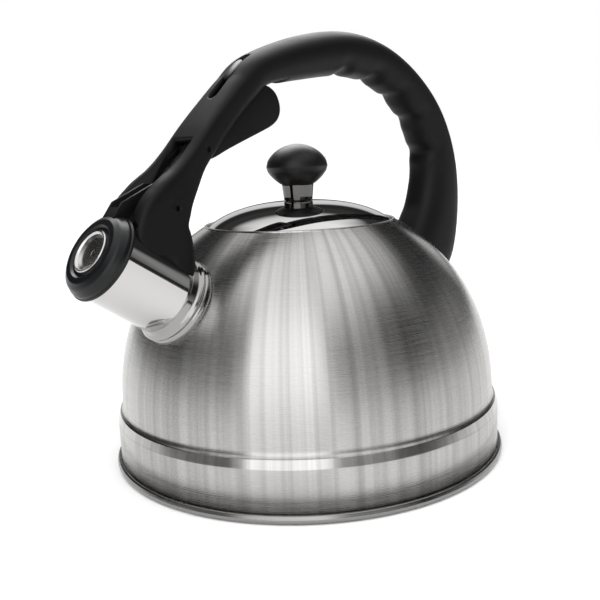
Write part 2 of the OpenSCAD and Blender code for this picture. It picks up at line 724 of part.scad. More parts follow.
washer_t = 0.8;
washer_r = 5;
knob_head_t = 1.8;
knob_screw_len = ferrule_h + knob_h / 2;
module knob_washer() {
  color(steel) translate([0, 0, lid_top - lid_t - washer_t]) difference() {
    cylinder(r = washer_r, h = washer_t);
    translate([0, 0, -1]) cylinder(r = screw_r + 0.1, h = washer_t + 2);
  }
}

module knob_screw() {
  color(steel) translate([0, 0, lid_top - lid_t - washer_t]) {
    translate([0, 0, -knob_head_t]) cylinder(r = head_r + 0.3, h = knob_head_t);
    cylinder(r = screw_r, h = knob_screw_len);
  }
}

body_shell();
base_seam();
base_plate();
heat_disc();
base_cap();
spout_tube();
spout_collar();
handle();
front_bracket();
rear_bracket();
front_screw();
rear_screw();
slot_insert();
trigger();
trigger_pin();
return_spring();
cap_lever();
lever_pin();
drive_pin();
lever_rivet();
spout_cap();
cap_gasket();
whistle_front();
whistle_back();
lid_dome();
lid_skirt();
lid_gasket();
knob();
knob_ferrule();
knob_screw();
knob_washer();
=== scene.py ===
# Stovetop whistling kettle: the looks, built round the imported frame. Metres, +Z up.
import json
import math
import bmesh
import bpy
import numpy as np
from mathutils import Matrix, Vector

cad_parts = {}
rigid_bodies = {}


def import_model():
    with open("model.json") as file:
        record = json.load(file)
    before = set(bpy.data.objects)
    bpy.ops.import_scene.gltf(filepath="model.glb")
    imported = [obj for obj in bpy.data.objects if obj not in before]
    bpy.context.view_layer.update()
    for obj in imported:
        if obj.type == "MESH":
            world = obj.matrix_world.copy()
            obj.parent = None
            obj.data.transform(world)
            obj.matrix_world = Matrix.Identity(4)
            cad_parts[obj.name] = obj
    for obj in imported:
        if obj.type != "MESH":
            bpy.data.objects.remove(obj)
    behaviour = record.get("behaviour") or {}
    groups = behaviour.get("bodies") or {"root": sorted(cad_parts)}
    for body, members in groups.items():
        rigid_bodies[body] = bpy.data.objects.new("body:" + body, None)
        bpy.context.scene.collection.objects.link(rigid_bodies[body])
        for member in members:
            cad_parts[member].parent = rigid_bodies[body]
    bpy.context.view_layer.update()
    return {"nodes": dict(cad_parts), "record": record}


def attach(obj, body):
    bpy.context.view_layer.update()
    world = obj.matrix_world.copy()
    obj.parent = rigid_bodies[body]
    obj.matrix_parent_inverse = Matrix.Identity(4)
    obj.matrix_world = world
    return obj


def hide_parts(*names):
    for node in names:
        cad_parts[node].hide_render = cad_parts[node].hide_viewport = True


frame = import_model()
TAU = 2 * math.pi
MM = 0.001

# ---------------------------------------------------------------- sizes, in millimetres
BAND_R, BAND_TOP = 107.5, 26.0                     # straight band below the dome
SEAM_R = 110.0                                     # rolled seam round the foot
DOME_R, DOME_Z, DOME_RISE = 104.5, 30.8, 111.5     # foot of the dome and its closed height
DOME_TOP_POWER, DOME_FOOT_POWER = 2.288, 1.964
WALL = 1.0                                         # steel sheet of the body
MOUTH_R, OPENING_R, NECK_R = 53.0, 51.0, 45.0      # filling opening, its wall and the neck
TUBE_R, BORE_R = 20.1, 19.1                        # spout tube, outside and inside
SPOUT_ANGLE = math.radians(34.5)
SPOUT_REACH, SPOUT_Z = 45.0, 98.0
CAP_R, CAP_BORE_R, CAP_FACE_R, CAP_LEN = 21.9, 20.75, 15.5, 8.0
WHISTLE_R, WHISTLE_HOLE_R = 11.0, 1.7
SKIRT_IN, SKIRT_OUT, SEAL_R = 42.6, 43.4, 44.65     # ring under the lid and the lips of its seal
FERRULE_R, FERRULE_H = 8.9, 8.8
KNOB_R, KNOB_H, SPIGOT_R = 17.1, 22.0, 6.7
LID_RISE, LID_GAP = 12.2, 0.6
HANDLE_TOP = 232.0
CHANNEL = 8.5                                      # half width of the room inside the handle
ROOF, BACK_WALL, SLOT = 3.5, 2.2, 3.5              # walls over and behind it, half width of the slot
PIN_R, TRIGGER_BORE_R = 1.5, 1.55                  # holes for the pins in the handle and the trigger
THROUGH = 40.0                                     # how far a cross hole is cut each side of the middle


def dome_radius(z, r=DOME_R, rise=DOME_RISE):
    """Radius of the dome at height z: a superellipse, fuller towards its foot."""
    h = np.clip((z - DOME_Z) / rise, 0, 1)
    return r * (1 - h ** DOME_TOP_POWER) ** (1 / DOME_FOOT_POWER)


def dome_height(r):
    """Height at which the dome has radius r."""
    return DOME_Z + DOME_RISE * (1 - (r / DOME_R) ** DOME_FOOT_POWER) ** (1 / DOME_TOP_POWER)


MOUTH_Z = dome_height(MOUTH_R)
LEDGE_Z = MOUTH_Z - 2
CAP_X = -float(dome_radius(SPOUT_Z)) - SPOUT_REACH * math.cos(SPOUT_ANGLE)
CAP_Z = SPOUT_Z + SPOUT_REACH * math.sin(SPOUT_ANGLE)
# The spout's own frame: +Z runs out along the spout and +X points away from its top.
SPOUT = Matrix.Translation((CAP_X * MM, 0, CAP_Z * MM)) @ Matrix.Rotation(SPOUT_ANGLE - math.pi / 2, 4, "Y")
UPRIGHT = Matrix.Identity(4)


def from_spout(up, out):
    """Side-view point, (x, z), that lies up above the spout's axis and out along it."""
    s, c = math.sin(SPOUT_ANGLE), math.cos(SPOUT_ANGLE)
    return np.array([CAP_X + up * s - out * c, CAP_Z + up * c + out * s])


JOINTS = {j["name"]: j for j in frame["record"]["behaviour"]["joints"]}
LEVER_PIVOT = np.array(JOINTS["cap_swing"]["pos_m"])[[0, 2]] / MM
TRIGGER_PIVOT = np.array(JOINTS["trigger_squeeze"]["pos_m"])[[0, 2]] / MM


# ---------------------------------------------------------------- meshes
def new_mesh(name, points, faces, place=UPRIGHT):
    """A smooth-shaded object from points in millimetres, placed by a matrix baked into its mesh."""
    mesh = bpy.data.meshes.new(name)
    mesh.from_pydata((np.asarray(points) * MM).tolist(), [], faces)
    mesh.transform(place)
    mesh.validate()
    mesh.shade_smooth()
    obj = bpy.data.objects.new(name, mesh)
    bpy.context.scene.collection.objects.link(obj)
    return obj


def grid_faces(rows, cols, wrap_rows=False):
    """Quads over a grid of rows by cols points whose columns close into a ring."""
    r = np.arange(rows if wrap_rows else rows - 1)[:, None]
    c = np.arange(cols)[None, :]
    a, b = r * cols + c, r * cols + (c + 1) % cols
    up = (r + 1) % rows * cols
    return np.stack([a, b, up + (c + 1) % cols, up + c], axis=-1).reshape(-1, 4)


def capped(rows, cols):
    """Quads over a grid whose columns close into a ring, and one face over each end ring."""
    ends = [list(range(cols)), list(range(rows * cols - 1, (rows - 1) * cols - 1, -1))]
    return grid_faces(rows, cols).tolist() + ends


def rounded(corners, steps=6, closed=False):
    """An outline with round corners: each corner is (x, y, radius), and radius 0 keeps the point.
    A round corner is an arc from tangent point to tangent point, with a point just outside each end."""
    pts, n, out = np.array([c[:2] for c in corners], float), len(corners), []
    for i, corner in enumerate(corners):
        radius = corner[2] if len(corner) > 2 else 0
        p, before, after = pts[i], pts[i - 1], pts[(i + 1) % n]
        if radius == 0 or (not closed and i in (0, n - 1)):
            out.append(p[None])
            continue
        u = (before - p) / np.linalg.norm(before - p)
        v = (after - p) / np.linalg.norm(after - p)
        half = math.acos(np.clip(u @ v, -1, 1)) / 2
        shorter = min(np.linalg.norm(before - p), np.linalg.norm(after - p))
        cut = min(radius / math.tan(half), 0.48 * shorter)
        radius = cut * math.tan(half)
        mid = p + (u + v) / np.linalg.norm(u + v) * radius / math.sin(half)
        a, b = p + u * cut, p + v * cut
        t = np.linspace(0, 1, steps + 1)[:, None]
        angle = math.pi - 2 * half
        arc = (np.sin((1 - t) * angle) * (a - mid) + np.sin(t * angle) * (b - mid)) / math.sin(angle) + mid
        edge = min(0.2, 0.3 * cut)
        out += [(a + u * edge)[None], arc, (b + v * edge)[None]]
    return np.concatenate(out)


def lathe(name, outline, place=UPRIGHT, turns=192, closed=True):
    """Revolves an outline of (radius, height) about +Z: point = (r cos a, r sin a, h) for each angle a.
    A point on the axis becomes one pole, and a closed outline joins its last ring to its first."""
    outline = np.asarray(outline, float)
    a = np.linspace(0, TAU, turns, endpoint=False)
    r, h = outline[:, 0][:, None], outline[:, 1][:, None]
    pts = np.stack([r * np.cos(a), r * np.sin(a), h + 0 * a], axis=-1).reshape(-1, 3)
    obj = new_mesh(name, pts, grid_faces(len(outline), turns, closed).tolist(), place)
    tidy(obj)
    return obj


def tidy(obj, join=1e-7):
    """Merges points that meet within join metres and points the faces outwards."""
    bm = bmesh.new()
    bm.from_mesh(obj.data)
    bmesh.ops.remove_doubles(bm, verts=bm.verts, dist=join)
    bmesh.ops.dissolve_degenerate(bm, edges=bm.edges, dist=join)
    bmesh.ops.recalc_face_normals(bm, faces=bm.faces)
    bm.to_mesh(obj.data)
    bm.free()


def plate(name, outline, low, high):
    """A flat plate: a side-view outline of (x, z) drawn from y = low to y = high."""
    outline = np.asarray(outline, float)
    n = len(outline)
    sides = [np.stack([outline[:, 0], np.full(n, y), outline[:, 1]], axis=1) for y in (low, high)]
    pts = np.concatenate(sides)
    obj = new_mesh(name, pts, capped(2, n))
    tidy(obj)
    return obj


def cross_bar(name, centre, radius, low, high, turns=48):
    """A round bar across the kettle at a side-view point."""
    a = np.linspace(0, TAU, turns, endpoint=False)
    circle = np.stack([centre[0] + radius * np.cos(a), centre[1] + radius * np.sin(a)], 1)
    return plate(name, circle, low, high)


def settled(obj):
    """Replaces an object's mesh by what its modifiers make of it."""
    bpy.context.view_layer.update()
    made = bpy.data.meshes.new_from_object(obj.evaluated_get(bpy.context.evaluated_depsgraph_get()))
    obj.modifiers.clear()
    obj.data = made


def carve(obj, cutters):
    """Cuts each cutter's volume out of an object and throws the cutter away."""
    for cutter in cutters:
        cut = obj.modifiers.new("cut", "BOOLEAN")
        cut.operation, cut.solver, cut.object = "DIFFERENCE", "EXACT", cutter
        settled(obj)
        bpy.data.objects.remove(cutter)


def soften(obj, width, segments=2, angle=35):
    """Gives every edge sharper than an angle a small round, as a mould or a deburred sheet has."""
    bevel = obj.modifiers.new("rounds", "BEVEL")
    bevel.width, bevel.segments = width * MM, segments
    bevel.limit_method, bevel.angle_limit = "ANGLE", math.radians(angle)
    bevel.use_clamp_overlap = True
    bevel.harden_normals = False
    settled(obj)
    shade(obj, angle)


def shade(obj, angle=35):
    """Smooth shading that breaks at edges sharper than an angle."""
    obj.data.shade_smooth()
    obj.data.set_sharp_from_angle(angle=math.radians(angle))


MERGE = 2e-6                                       # metres: closer points of a CAD mesh are one
FLAT = math.radians(1.5)                           # faces that turn less than this become one


def from_cad(name, node, width=0.0):
    """A copy of a CAD piece with its points merged and its edges eased by width millimetres."""
    obj = bpy.data.objects.new(name, frame["nodes"][node].data.copy())
    obj.data.materials.clear()
    bpy.context.scene.collection.objects.link(obj)
    bm = bmesh.new()
    bm.from_mesh(obj.data)
    bmesh.ops.remove_doubles(bm, verts=bm.verts, dist=MERGE)
    bmesh.ops.dissolve_limit(bm, angle_limit=FLAT, verts=bm.verts, edges=bm.edges)
    bm.to_mesh(obj.data)
    bm.free()
    if width:
        soften(obj, width)
    else:
        shade(obj)
    return obj


# ---------------------------------------------------------------- materials
def colour(hex_value):
    """sRGB hex to the linear colour that a shader takes."""
    c = np.array([int(hex_value[i:i + 2], 16) for i in (1, 3, 5)]) / 255
    lin = np.where(c <= 0.04045, c / 12.92, ((c + 0.055) / 1.055) ** 2.4)
    return (*lin.tolist(), 1.0)


def add(tree, kind, settings=None, links=None):
    """Adds a node: settings are {property or input: value}, links are {input: output socket}. The
    setting stops fills a colour ramp with (place, linear colour)."""
    made = tree.nodes.new("ShaderNode" + kind)
    for key, value in (settings or {}).items():
        if key == "stops":
            elements = made.color_ramp.elements
            elements[0].position, elements[0].color = value[0]
            elements[1].position, elements[1].color = value[-1]
            for place, tone in value[1:-1]:
                elements.new(place).color = tone
        elif isinstance(key, str) and hasattr(made, key) and key not in made.inputs:
            setattr(made, key, value)
        else:
            made.inputs[key].default_value = value
    for key, socket in (links or {}).items():
        tree.links.new(socket, made.inputs[key])
    return made


def material(name):
    """A new node material with its shader, and its tree."""
    mat = bpy.data.materials.new(name)
    mat.use_nodes = True
    return mat, mat.node_tree, mat.node_tree.nodes["Principled BSDF"]


def brushed_steel(name, tint, rough, aniso, buffed=None):
    """18/8 stainless sheet, brushed round the kettle: fine scratches run round it, so light smears
    up and down, and the polish varies a little from scratch to scratch. Between the two heights of
    buffed, in millimetres, the sheet is buffed smooth."""
    mat, tree, shader = material(name)
    where = add(tree, "TexCoord").outputs["Object"]
    split = add(tree, "SeparateXYZ", links={0: where})
    # scratches 0.4 mm apart in height, drawn coarser than the real 0.05 mm so that they show
    height = add(tree, "CombineXYZ", links={2: split.outputs["Z"]})
    lines = {"Scale": 2500.0, "Detail": 3.0, "Roughness": 0.6}
    fine = add(tree, "TexNoise", lines, {"Vector": height.outputs[0]})
    # each scratch fades in and out round the body over about 40 mm
    squash = add(tree, "Mapping", {"Scale": (24.0, 24.0, 2600.0)}, {"Vector": where})
    fades = {"Scale": 1.0, "Detail": 4.0, "Roughness": 0.7}
    patch = add(tree, "TexNoise", fades, {"Vector": squash.outputs[0]})
    scratch = add(tree, "Math", {"operation": "MULTIPLY"}, {0: fine.outputs[0], 1: patch.outputs[0]})
    # soft upright bands about 5 mm wide, where the belt pressed harder as the body turned
    flat = add(tree, "CombineXYZ", links={0: split.outputs["X"], 1: split.outputs["Y"]})
    round_it = add(tree, "VectorMath", {"operation": "NORMALIZE"}, {0: flat.outputs[0]})
    bands = {"Scale": 21.0, "Detail": 3.0, "Roughness": 0.6}
    upright = add(tree, "TexNoise", bands, {"Vector": round_it.outputs[0]})
    spread = {"From Min": 0.15, "From Max": 0.4, "To Min": rough - 0.05, "To Max": rough + 0.05}
    gloss = add(tree, "MapRange", spread, {"Value": scratch.outputs[0]})
    if buffed:
        middle, half = (buffed[0] + buffed[1]) / 2 * MM, (buffed[1] - buffed[0]) / 2 * MM
        offset = add(tree, "Math", {"operation": "SUBTRACT", 1: middle}, {0: split.outputs["Z"]})
        away = add(tree, "Math", {"operation": "ABSOLUTE"}, {0: offset.outputs[0]})
        edge = {"From Min": half - 0.2 * MM, "From Max": half, "To Min": 1.0, "To Max": 0.0}
        inside = add(tree, "MapRange", edge, {"Value": away.outputs[0]})
        both = {0: inside.outputs[0], 2: gloss.outputs[0]}
        gloss = add(tree, "Mix", {"data_type": "FLOAT", 3: 0.13}, both)
    tree.links.new(gloss.outputs[0], shader.inputs["Roughness"])
    weight = {"operation": "MULTIPLY_ADD", 1: 0.14}
    blend = add(tree, "Math", weight, {0: patch.outputs[0], 2: upright.outputs[0]})
    share = add(tree, "MapRange", {"From Min": 0.42, "From Max": 0.72}, {"Value": blend.outputs[0]})
    base = np.array(colour(tint))
    worn, clean = tuple(base * [0.8, 0.79, 0.785, 1]), tuple(np.minimum(base * 1.14, 1))
    mix = add(tree, "Mix", {"data_type": "RGBA", 6: worn, 7: clean}, {0: share.outputs[0]})
    tree.links.new(mix.outputs[2], shader.inputs["Base Color"])
    bump = add(tree, "Bump", {"Strength": 0.025, "Distance": 0.00004}, {"Height": scratch.outputs[0]})
    tree.links.new(bump.outputs[0], shader.inputs["Normal"])
    tangent = add(tree, "Tangent", {"direction_type": "RADIAL", "axis": "Z"})
    tree.links.new(tangent.outputs[0], shader.inputs["Tangent"])
    shader.inputs["Metallic"].default_value = 1.0
    shader.inputs["Anisotropic"].default_value = aniso
    shader.inputs["Anisotropic Rotation"].default_value = 0.25
    return mat


def polished_steel(name, tint, rough):
    """Buffed or plated metal: mirror bright, with a faint haze and slow waves left by the buffing wheel."""
    mat, tree, shader = material(name)
    where = add(tree, "TexCoord").outputs["Object"]
    haze = add(tree, "TexNoise", {"Scale": 90.0, "Detail": 4.0, "Roughness": 0.6}, {"Vector": where})
    spread = {"From Min": 0.3, "From Max": 0.7, "To Min": rough * 0.7, "To Max": rough * 1.5}
    gloss = add(tree, "MapRange", spread, {"Value": haze.outputs[0]})
    tree.links.new(gloss.outputs[0], shader.inputs["Roughness"])
    wave = add(tree, "TexNoise", {"Scale": 45.0, "Detail": 1.0}, {"Vector": where})
    bump = add(tree, "Bump", {"Strength": 0.06, "Distance": 0.0002}, {"Height": wave.outputs[0]})
    tree.links.new(bump.outputs[0], shader.inputs["Normal"])
    shader.inputs["Base Color"].default_value = colour(tint)
    shader.inputs["Metallic"].default_value = 1.0
    return mat


GRAIN_MM = 0.35                                    # size of the spark-eroded grain in a mould's wall


def moulded_plastic(name, tint, rough, grain=0.25, shine=0.16):
    """Moulded nylon, phenolic or silicone, with a spark-eroded grain that softens its gloss."""
    mat, tree, shader = material(name)
    where = add(tree, "TexCoord").outputs["Object"]
    fine = add(tree, "TexNoise", {"Scale": 1 / (GRAIN_MM * MM), "Detail": 2.0}, {"Vector": where})
    cloud = add(tree, "TexNoise", {"Scale": 35.0, "Detail": 3.0}, {"Vector": where})
    spread = {"From Min": 0.3, "From Max": 0.7, "To Min": rough - 0.05, "To Max": rough + 0.05}
    gloss = add(tree, "MapRange", spread, {"Value": cloud.outputs[0]})
    tree.links.new(gloss.outputs[0], shader.inputs["Roughness"])
    bump = add(tree, "Bump", {"Strength": grain, "Distance": 0.00006}, {"Height": fine.outputs[0]})
    tree.links.new(bump.outputs[0], shader.inputs["Normal"])
    shader.inputs["Base Color"].default_value = colour(tint)
    shader.inputs["Specular IOR Level"].default_value = shine
    return mat


# spun and brushed sheet: a soft grey sheen drawn out into upright streaks, with a bright buffed shoulder
BRUSHED = brushed_steel("brushed_stainless", "#b0afae", 0.28, 0.9, (BAND_TOP + 0.2, DOME_Z))
# mill-finish sheet out of sight: even grey, hardly streaked
PLAIN = brushed_steel("plain_stainless", "#bdbbb9", 0.34, 0.3)
# rolled edge: tinted darker than the body as painted shade at the foot, with a thin highlight
SEAM = polished_steel("rolled_stainless_painted_shade", "#8c8b8a", 0.2)
# buffed to a mirror: black and white bands with hard edges
MIRROR = polished_steel("mirror_stainless", "#c2c1c0", 0.035)
# drawn ring at the spout's root: a duller mirror, its bands a little soft
DRAWN = polished_steel("drawn_stainless", "#989796", 0.11)
# pressed whistle disc: satin, so its dish shades slowly from dark to light
PRESSED = polished_steel("pressed_stainless", "#c6c4c2", 0.2)
# chrome plate: cool and nearly mirror bright
CHROME = polished_steel("chrome_plate", "#bdbcbb", 0.07)
# chrome on the ferrule, its tint darkened as a painted dark reflection: a dark mirror
CHROME_PAINTED_DARK = polished_steel("chrome_plate_painted_dark", "#605f5e", 0.1)
# zinc plate on brackets and screws: blue-grey and dull
ZINC = polished_steel("zinc_plate", "#8f9092", 0.28)
# oil-blackened steel pins and spring: almost as dark as the mouldings
BLACKENED = polished_steel("blackened_steel", "#1c1c1e", 0.42)
# rolled aluminium disc: pale and matt
ALUMINIUM = polished_steel("bare_aluminium", "#c9cacc", 0.4)
# textured nylon: black with wide, weak highlights
NYLON = moulded_plastic("matt_black_nylon", "#0d0d0e", 0.5)
# smoother nylon: the same black with clearer edges of light
SATIN = moulded_plastic("satin_black_nylon", "#0b0c0e", 0.33, grain=0.1, shine=0.3)
# tumbled phenolic: black with a soft glow on its crown
PHENOLIC = moulded_plastic("satin_black_phenolic", "#0c0b0b", 0.42, grain=0.12, shine=0.32)
# silicone rubber: light grey and without gloss
SILICONE = moulded_plastic("grey_silicone", "#8b8a88", 0.55)


def finish(obj, mat, body, slot, *nodes):
    """Gives a piece its material, the body it rides on and the CAD pieces it stands for; slot is not used."""
    obj.data.materials.clear()
    obj.data.materials.append(mat)
    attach(obj, body)
    if nodes:
        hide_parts(*nodes)
    return obj


# ---------------------------------------------------------------- camera, light and floor
def place_camera():
    """Camera at the kettle's front left, a little above it, leaning by a few degrees."""
    yaw, pitch, roll = 0.7383, -0.1895, -0.0459
    forward = Vector((math.sin(yaw) * math.cos(pitch), math.cos(yaw) * math.cos(pitch), math.sin(pitch)))
    right = Vector((math.cos(yaw), -math.sin(yaw), 0))
    up = right.cross(forward)
    right, up = right * math.cos(roll) + up * math.sin(roll), up * math.cos(roll) - right * math.sin(roll)
    camera = bpy.data.objects.new("camera", bpy.data.cameras.new("camera"))
    camera.matrix_world = Matrix((right, up, -forward)).transposed().to_4x4()
    camera.location = Vector((-0.3093, -0.3374, 0.1719))
    camera.data.sensor_width, camera.data.lens = 36.0, 49.2042
    camera.data.clip_start = 0.01
    bpy.context.scene.collection.objects.link(camera)
    bpy.context.scene.camera = camera


# How bright the studio is round the kettle, by degrees round from the camera's side: a soft white
# panel in front, dark gaps to its left and right, grey sides and a white backdrop.
WALLS = ((-180, 0.8), (-150, 0.7), (-138, 0.04), (-84, 0.02), (-66, 0.34), (-46, 0.22),
         (-34, 1.9), (8, 2.2), (18, 0.6), (44, 0.55), (58, 0.06), (76, 0.01),
         (96, 0.35), (120, 0.3), (140, 0.04), (152, 0.7), (180, 0.8))
CAMERA_SIDE = -132.5                               # compass direction of the camera, degrees from +X


def grey(v):
    """A linear grey."""
    return (v, v, v, 1.0)


def elevation(*degrees):
    """Heights e above the horizon as shares of the way from straight down to straight up: (sin e + 1) / 2."""
    return [(math.sin(math.radians(e)) + 1) / 2 for e in degrees]


def switched(edges, tone=0):
    """Stops that go between black and white: each pair of edges is one soft switch to the other."""
    stops = [(0, grey(tone))]
    for start, end in zip(edges[::2], edges[1::2]):
        stops += [(start, grey(tone)), (end, grey(1 - tone))]
        tone = 1 - tone
    return stops + [(1, grey(tone))]


def studio(tree):
    """Colour of the room in each direction: walls, two dark trims, a dark far gap and a bright ceiling."""
    split = add(tree, "SeparateXYZ", links={0: add(tree, "TexCoord").outputs["Generated"]})
    turn = add(tree, "Math", {"operation": "ARCTAN2"}, {0: split.outputs["Y"], 1: split.outputs["X"]})
    # turns from the camera's side, so that 0 to 1 runs from -180 to 180 degrees
    turned = add(tree, "Math", {"operation": "DIVIDE", 1: TAU}, {0: turn.outputs[0]})
    start = 1.5 - CAMERA_SIDE / 360
    shifted = add(tree, "Math", {"operation": "ADD", 1: start}, {0: turned.outputs[0]})
    share = add(tree, "Math", {"operation": "FRACT"}, {0: shifted.outputs[0]}).outputs[0]
    rise = add(tree, "MapRange", {"From Min": -1.0, "From Max": 1.0}, {"Value": split.outputs["Z"]})
    level = rise.outputs[0]
    walls = add(tree, "ValToRGB", {"stops": [((d + 180) / 360, grey(v)) for d, v in WALLS]}, {0: share})
    # behind the kettle a dark gap separates the backdrop from the ceiling
    gap = add(tree, "ValToRGB", {"stops": switched(elevation(17, 21, 38, 46))}, {0: level})
    far = add(tree, "ValToRGB", {"stops": switched((0.2, 0.3, 0.7, 0.8), 1)}, {0: share})
    dark = add(tree, "Math", {"operation": "MULTIPLY"}, {0: gap.outputs[0], 1: far.outputs[0]})
    shade_of_gap = {"data_type": "RGBA", 7: grey(0.05)}
    shaded = add(tree, "Mix", shade_of_gap, {0: dark.outputs[0], 6: walls.outputs[0]})
    # two thin dark trims round the room, but not over the soft panel: they draw the dark lines along
    # polished tube and rims
    trim_edges = elevation(0.5, 1.5, 5, 6.5, 19, 21, 28, 30)
    trim = add(tree, "ValToRGB", {"stops": switched(trim_edges)}, {0: level})
    beside = add(tree, "ValToRGB", {"stops": switched((0.39, 0.405, 0.53, 0.545), 1)}, {0: share})
    lines = add(tree, "Math", {"operation": "MULTIPLY"}, {0: trim.outputs[0], 1: beside.outputs[0]})
    shade_of_trim = {"data_type": "RGBA", 7: grey(0.03)}
    lined = add(tree, "Mix", shade_of_trim, {0: lines.outputs[0], 6: shaded.outputs[2]})
    roof = add(tree, "ValToRGB", {"stops": switched(elevation(40, 62))}, {0: level})
    whole = add(tree, "Mix", {"data_type": "RGBA", 7: grey(1.4)}, {0: roof.outputs[0], 6: lined.outputs[2]})
    # seen straight on, the room is a plain white backdrop
    straight = add(tree, "LightPath").outputs["Is Camera Ray"]
    seen = add(tree, "Mix", {"data_type": "RGBA", 7: grey(1.0)}, {0: straight, 6: whole.outputs[2]})
    return seen.outputs[2]


def hang_lamp(name, energy, spread, lean, turn):
    """A soft lamp: spread is the width of its glow, lean its tilt from overhead, turn its compass side."""
    lamp = bpy.data.lights.new(name, "SUN")
    lamp.energy, lamp.angle = energy, math.radians(spread)
    obj = bpy.data.objects.new(name, lamp)
    obj.rotation_euler = (math.radians(lean), 0, math.radians(turn))
    bpy.context.scene.collection.objects.link(obj)
    return obj


def place_light():
    """A studio of pale and dark walls under a bright soft ceiling, and a soft lamp for the floor."""
    scene = bpy.context.scene
    scene.view_settings.view_transform = "Standard"
    scene.world = bpy.data.worlds.new("studio")
    scene.world.use_nodes = True
    tree = scene.world.node_tree
    back = tree.nodes["Background"]
    back.inputs["Strength"].default_value = 1.0
    tree.links.new(studio(tree), back.inputs["Color"])
    hang_lamp("ceiling_lamp", 1.75, 90, 24, -42).visible_glossy = False


def place_top_lamp(materials):
    """A soft lamp above the back of the table that lights only the black mouldings, along their tops."""
    lamp = hang_lamp("top_lamp", 3.0, 50, -42, -42)
    lit = bpy.data.collections.new("black_mouldings")
    for piece in bpy.context.scene.objects:
        if piece.type == "MESH" and piece.active_material in materials:
            lit.objects.link(piece)
    lamp.light_linking.receiver_collection = lit


def lay_floor():
    """A wide pale floor just under the kettle."""
    size, drop = 6000, -0.05
    corners = [(x * size, y * size, drop) for x, y in ((-1, -1), (1, -1), (1, 1), (-1, 1))]
    floor = new_mesh("floor", corners, [(0, 1, 2, 3)])
    mat, _, shader = material("white_card")
    shader.inputs["Base Color"].default_value = colour("#fbfbfb")
    shader.inputs["Roughness"].default_value = 0.7
    floor.data.materials.append(mat)


place_camera()
place_light()
lay_floor()


# ---------------------------------------------------------------- kettle body
BAND_FOOT, NECK_FOOT = 3.8, LEDGE_Z - 8


def bore_cutter(name, radius, low, high, turns, place=SPOUT):
    """A solid round bar along an axis, for cutting."""
    return lathe(name, [(0, low), (radius, low), (radius, high), (0, high)], place, turns, closed=False)


def body_outline():
    """Outline of the body sheet: up the outside, round the mouth's rim, and down the inside."""
    z = DOME_Z + (MOUTH_Z - DOME_Z) * np.sin(np.linspace(0.02, math.pi / 2, 110))
    outside = np.stack([dome_radius(z), z], 1)
    z = DOME_Z + (LEDGE_Z - WALL - DOME_Z) * np.sin(np.linspace(math.pi / 2, 0.02, 80))
    inside = np.stack([dome_radius(z, DOME_R - WALL, DOME_RISE - WALL), z], 1)
    foot = rounded([(BAND_R, BAND_FOOT), (BAND_R, BAND_TOP, 0.8), (DOME_R + 1.7, DOME_Z - 0.1, 0.5),
                    (DOME_R, DOME_Z)])
    rim = rounded([(MOUTH_R, MOUTH_Z), (MOUTH_R - 0.3, MOUTH_Z + 0.8, 0.4),
                   (MOUTH_R - 1.7, MOUTH_Z + 0.9, 0.5), (OPENING_R, MOUTH_Z - 0.5, 0.4),
                   (OPENING_R, LEDGE_Z, 0.4), (NECK_R, LEDGE_Z, 0.8), (NECK_R, NECK_FOOT, 0.3),
                   (NECK_R + WALL, NECK_FOOT, 0.3), (NECK_R + WALL, LEDGE_Z - WALL)])
    under = [(DOME_R - WALL, DOME_Z - 0.4), (BAND_R - WALL - 0.5, DOME_Z - 1.2), (BAND_R - WALL, BAND_TOP),
             (BAND_R - WALL, BAND_FOOT)]
    return np.concatenate([foot[:-1], outside, rim[1:], inside, under])


body = lathe("kettle_body", body_outline(), turns=360)
carve(body, [bore_cutter("bore", BORE_R, -62, -20, 96)])
finish(body, BRUSHED, "kettle", "brushed_body", "body_shell")

seam = rounded([(BAND_R, 3.1), (BAND_R, 4.7, 0.2), (109.2, 4.6, 0.9), (SEAM_R, 2.4, 1.4),
                (109.0, 0.35, 1.2), (107.0, 0.1, 1.0), (105.4, 1.6, 1.0), (105.6, 3.0, 0.1)], closed=True)
# the seam's darker tint is painted shade at the foot
finish(lathe("rolled_base_seam", seam, turns=360), SEAM, "kettle", "rolled_seam", "base_seam")


# ---------------------------------------------------------------- spout
TUBE_ROOT, TUBE_LIP = -52, 1                       # along the spout from the middle of its mouth
COLLAR_R = 22.7

tube = rounded([(TUBE_R, TUBE_ROOT), (TUBE_R, TUBE_LIP, 0.5), (BORE_R, TUBE_LIP, 0.4), (BORE_R, TUBE_ROOT)])
side = np.stack([np.full(30, TUBE_R), np.linspace(TUBE_ROOT + 2, TUBE_LIP - 2, 30)], 1)
tube = np.concatenate([tube[:1], side, tube[1:]])
finish(lathe("spout_tube_polished", tube, SPOUT, 144), MIRROR, "kettle", "polished_steel", "spout_tube")
collar = rounded([(TUBE_R - 0.3, -37.3), (TUBE_R + 0.1, -38.4, 3.0), (TUBE_R + 1.0, -41.2, 1.5),
                  (22.0, -42.0, 0.5), (COLLAR_R, -43.0, 0.5), (22.4, -44.0, 0.3), (21.7, -44.6, 0.3),
                  (22.3, -45.4, 0.5), (COLLAR_R, -46.2), (COLLAR_R, -51), (TUBE_R - 0.3, -51)], closed=True)
finish(lathe("spout_root_collar", collar, SPOUT, 144), DRAWN, "kettle", "polished_steel", "spout_collar")


